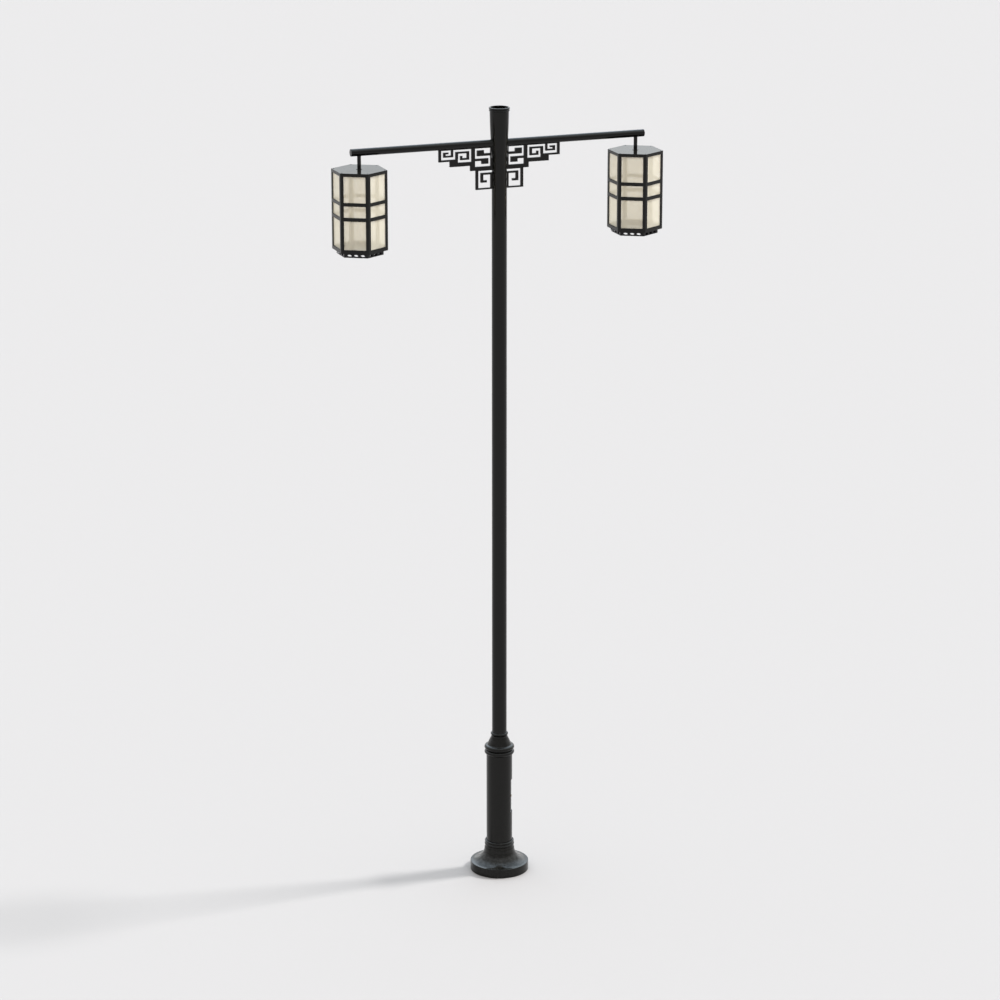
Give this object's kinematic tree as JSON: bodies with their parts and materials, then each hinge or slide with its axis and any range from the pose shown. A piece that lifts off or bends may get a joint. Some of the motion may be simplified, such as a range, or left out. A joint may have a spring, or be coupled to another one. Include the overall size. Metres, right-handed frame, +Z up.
{
  "type": "street lamp post",
  "caption": "Tall street lamp post: stepped round column on a bell base, straight cross arm with meander fretwork, and a hexagonal lantern with translucent panes hung from each end.",
  "frame": {"origin": "centre of the round base on the ground", "axes": "+Z up along the column, +X along the cross arm towards the side of the service door"},
  "size_m": [2.1128, 0.376, 5],
  "materials": {
    "black_paint": "gloss",
    "galvanised_steel": "matt",
    "brass": "satin",
    "aluminium": "satin",
    "cream_pane": "satin, translucent",
    "led_white": "matt",
    "grey_plastic": "matt",
    "service_board": "matt"
  },
  "bodies": {
    "post": {"base_plate": "galvanised_steel", "anchor_bolt_1": "galvanised_steel", "anchor_bolt_2": "galvanised_steel", "anchor_bolt_3": "galvanised_steel", "anchor_bolt_4": "galvanised_steel", "base_cover": "black_paint", "base_collar": "black_paint", "column": "black_paint", "door_frame": "galvanised_steel", "door_hinge_pin": "galvanised_steel", "backboard": "service_board", "fuse_unit": "grey_plastic", "earth_stud": "brass", "seat_ring": "galvanised_steel", "reducer": "black_paint", "pole": "black_paint", "joint_spigot": "galvanised_steel", "top_sleeve": "black_paint", "rim_ring": "black_paint", "top_plug": "grey_plastic", "cross_arm": "black_paint", "arm_cap_left": "black_paint", "fretwork_left": "black_paint", "hanger_left": "black_paint", "hanger_nut_left": "galvanised_steel", "lantern_cap_left": "black_paint", "lantern_frame_left": "black_paint", "lamp_tray_left": "aluminium", "led_module_left": "led_white", "floor_hinge_pin_left": "galvanised_steel", "pane_1_left": "cream_pane", "pane_2_left": "cream_pane", "pane_3_left": "cream_pane", "pane_4_left": "cream_pane", "pane_5_left": "cream_pane", "pane_6_left": "cream_pane", "arm_cap_right": "black_paint", "fretwork_right": "black_paint", "hanger_right": "black_paint", "hanger_nut_right": "galvanised_steel", "lantern_cap_right": "black_paint", "lantern_frame_right": "black_paint", "lamp_tray_right": "aluminium", "led_module_right": "led_white", "floor_hinge_pin_right": "galvanised_steel", "pane_1_right": "cream_pane", "pane_2_right": "cream_pane", "pane_3_right": "cream_pane", "pane_4_right": "cream_pane", "pane_5_right": "cream_pane", "pane_6_right": "cream_pane"},
    "door": {"access_door": "black_paint"},
    "door_cam": {"door_lock": "brass"},
    "floor_left": {"lantern_floor_left": "black_paint", "skirt_left": "black_paint"},
    "latch_left": {"floor_latch_left": "galvanised_steel"},
    "floor_right": {"lantern_floor_right": "black_paint", "skirt_right": "black_paint"},
    "latch_right": {"floor_latch_right": "galvanised_steel"}
  },
  "joints": [
    {"name": "door_hinge", "type": "hinge", "parent": "post", "child": "door", "pos_m": [0.0574, 0.05543, 0.51], "axis": [0, 0, 1], "range_deg": [0, 105]},
    {"name": "door_lock_turn", "type": "hinge", "parent": "door", "child": "door_cam", "pos_m": [0.05516, -0.0431, 0.51], "axis": [0.788, -0.6157, 0], "range_deg": [0, 90]},
    {"name": "floor_hinge_left", "type": "hinge", "parent": "post", "child": "floor_left", "pos_m": [-0.758, 0, 4.179], "axis": [0, -1, 0], "range_deg": [0, 90]},
    {"name": "floor_latch_turn_left", "type": "hinge", "parent": "floor_left", "child": "latch_left", "pos_m": [-1.042, 0, 4.18], "axis": [0, 0, 1], "range_deg": [0, 90]},
    {"name": "floor_hinge_right", "type": "hinge", "parent": "post", "child": "floor_right", "pos_m": [0.758, 0, 4.179], "axis": [0, 1, 0], "range_deg": [0, 90]},
    {"name": "floor_latch_turn_right", "type": "hinge", "parent": "floor_right", "child": "latch_right", "pos_m": [1.042, 0, 4.18], "axis": [0, 0, 1], "range_deg": [0, 90]}
  ]
}
